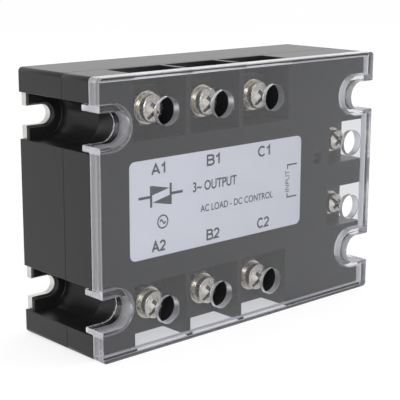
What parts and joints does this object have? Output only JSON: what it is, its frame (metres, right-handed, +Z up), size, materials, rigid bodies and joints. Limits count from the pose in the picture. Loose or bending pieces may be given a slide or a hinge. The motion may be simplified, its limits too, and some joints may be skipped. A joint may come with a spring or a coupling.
{
  "type": "solid state relay",
  "caption": "Black three-phase power relay on a metal base plate, with screw terminals in open wells, side mounting slots and a clear lift-off front cover.",
  "frame": {"origin": "centre of the metal base plate's mounting face", "axes": "+X to the right across the terminal columns, +Y into the mounting surface, +Z up across the terminal rows; the clear cover faces -Y"},
  "size_m": [0.105, 0.0354, 0.074],
  "materials": {
    "housing_plastic": "fine moulded texture",
    "clear_plastic": "clear, polished",
    "plate_metal": "satin",
    "label_film": "printed film",
    "nickel": "nickel plated",
    "bar_metal": "tinned",
    "ceramic": "fired ceramic",
    "copper": "bare copper",
    "silicon": "polished",
    "gel": "soft, glossy",
    "board": "solder mask",
    "component_black": "moulded epoxy",
    "capacitor_case": "dipped",
    "resistor_coat": "lacquered",
    "led_lens": "tinted epoxy",
    "lead_metal": "tinned wire"
  },
  "bodies": {
    "housing": {"base_plate": "plate_metal", "rear_housing": "housing_plastic", "front_housing": "housing_plastic", "front_label": "label_film", "substrate_a": "ceramic", "substrate_b": "ceramic", "substrate_c": "ceramic", "copper_tracks": "copper", "thyristor_chips": "silicon", "gate_pins": "lead_metal", "potting_compound": "gel", "control_board": "board", "optocouplers": "component_black", "snubber_capacitors": "capacitor_case", "gate_resistors": "resistor_coat", "input_regulator": "component_black", "status_led": "led_lens", "led_leads": "lead_metal", "plate_screws": "nickel", "terminal_nuts": "nickel", "busbar_a1": "bar_metal", "busbar_b1": "bar_metal", "busbar_c1": "bar_metal", "busbar_a2": "bar_metal", "busbar_b2": "bar_metal", "busbar_c2": "bar_metal", "terminal_in_plus": "bar_metal", "terminal_in_minus": "bar_metal"},
    "cover": {"clear_cover": "clear_plastic"},
    "washers_a1": {"spring_washer_a1": "nickel", "flat_washer_a1": "nickel"},
    "screw_a1": {"screw_a1": "nickel"},
    "washers_b1": {"spring_washer_b1": "nickel", "flat_washer_b1": "nickel"},
    "screw_b1": {"screw_b1": "nickel"},
    "washers_c1": {"spring_washer_c1": "nickel", "flat_washer_c1": "nickel"},
    "screw_c1": {"screw_c1": "nickel"},
    "washers_a2": {"spring_washer_a2": "nickel", "flat_washer_a2": "nickel"},
    "screw_a2": {"screw_a2": "nickel"},
    "washers_b2": {"spring_washer_b2": "nickel", "flat_washer_b2": "nickel"},
    "screw_b2": {"screw_b2": "nickel"},
    "washers_c2": {"spring_washer_c2": "nickel", "flat_washer_c2": "nickel"},
    "screw_c2": {"screw_c2": "nickel"},
    "washers_in_plus": {"spring_washer_in_plus": "nickel", "flat_washer_in_plus": "nickel"},
    "screw_in_plus": {"screw_in_plus": "nickel"},
    "washers_in_minus": {"spring_washer_in_minus": "nickel", "flat_washer_in_minus": "nickel"},
    "screw_in_minus": {"screw_in_minus": "nickel"}
  },
  "joints": [
    {"name": "cover_lift", "type": "slide", "parent": "housing", "child": "cover", "axis": [0, -1, 0], "range_m": [0, 0.04]},
    {"name": "rise_a1", "type": "slide", "parent": "housing", "child": "washers_a1", "axis": [0, -1, 0], "range_m": [0, 0.0028]},
    {"name": "turn_a1", "type": "hinge", "parent": "washers_a1", "child": "screw_a1", "pos_m": [-0.0301, 0, 0.0268], "axis": [0, -1, 0], "range_deg": [0, 1440]},
    {"name": "rise_b1", "type": "slide", "parent": "housing", "child": "washers_b1", "axis": [0, -1, 0], "range_m": [0, 0.0028]},
    {"name": "turn_b1", "type": "hinge", "parent": "washers_b1", "child": "screw_b1", "pos_m": [-0.0103, 0, 0.0268], "axis": [0, -1, 0], "range_deg": [0, 1440]},
    {"name": "rise_c1", "type": "slide", "parent": "housing", "child": "washers_c1", "axis": [0, -1, 0], "range_m": [0, 0.0028]},
    {"name": "turn_c1", "type": "hinge", "parent": "washers_c1", "child": "screw_c1", "pos_m": [0.0095, 0, 0.0268], "axis": [0, -1, 0], "range_deg": [0, 1440]},
    {"name": "rise_a2", "type": "slide", "parent": "housing", "child": "washers_a2", "axis": [0, -1, 0], "range_m": [0, 0.0028]},
    {"name": "turn_a2", "type": "hinge", "parent": "washers_a2", "child": "screw_a2", "pos_m": [-0.0301, 0, -0.0268], "axis": [0, -1, 0], "range_deg": [0, 1440]},
    {"name": "rise_b2", "type": "slide", "parent": "housing", "child": "washers_b2", "axis": [0, -1, 0], "range_m": [0, 0.0028]},
    {"name": "turn_b2", "type": "hinge", "parent": "washers_b2", "child": "screw_b2", "pos_m": [-0.0103, 0, -0.0268], "axis": [0, -1, 0], "range_deg": [0, 1440]},
    {"name": "rise_c2", "type": "slide", "parent": "housing", "child": "washers_c2", "axis": [0, -1, 0], "range_m": [0, 0.0028]},
    {"name": "turn_c2", "type": "hinge", "parent": "washers_c2", "child": "screw_c2", "pos_m": [0.0095, 0, -0.0268], "axis": [0, -1, 0], "range_deg": [0, 1440]},
    {"name": "rise_in_plus", "type": "slide", "parent": "housing", "child": "washers_in_plus", "axis": [0, -1, 0], "range_m": [0, 0.0024]},
    {"name": "turn_in_plus", "type": "hinge", "parent": "washers_in_plus", "child": "screw_in_plus", "pos_m": [0.0437, 0, 0.01], "axis": [0, -1, 0], "range_deg": [0, 1440]},
    {"name": "rise_in_minus", "type": "slide", "parent": "housing", "child": "washers_in_minus", "axis": [0, -1, 0], "range_m": [0, 0.0024]},
    {"name": "turn_in_minus", "type": "hinge", "parent": "washers_in_minus", "child": "screw_in_minus", "pos_m": [0.0437, 0, -0.01], "axis": [0, -1, 0], "range_deg": [0, 1440]}
  ],
  "couplings": [
    {"joint": "turn_a1", "follows": "rise_a1", "rad_per_m": 8976},
    {"joint": "turn_b1", "follows": "rise_b1", "rad_per_m": 8976},
    {"joint": "turn_c1", "follows": "rise_c1", "rad_per_m": 8976},
    {"joint": "turn_a2", "follows": "rise_a2", "rad_per_m": 8976},
    {"joint": "turn_b2", "follows": "rise_b2", "rad_per_m": 8976},
    {"joint": "turn_c2", "follows": "rise_c2", "rad_per_m": 8976},
    {"joint": "turn_in_plus", "follows": "rise_in_plus", "rad_per_m": 10472},
    {"joint": "turn_in_minus", "follows": "rise_in_minus", "rad_per_m": 10472}
  ]
}
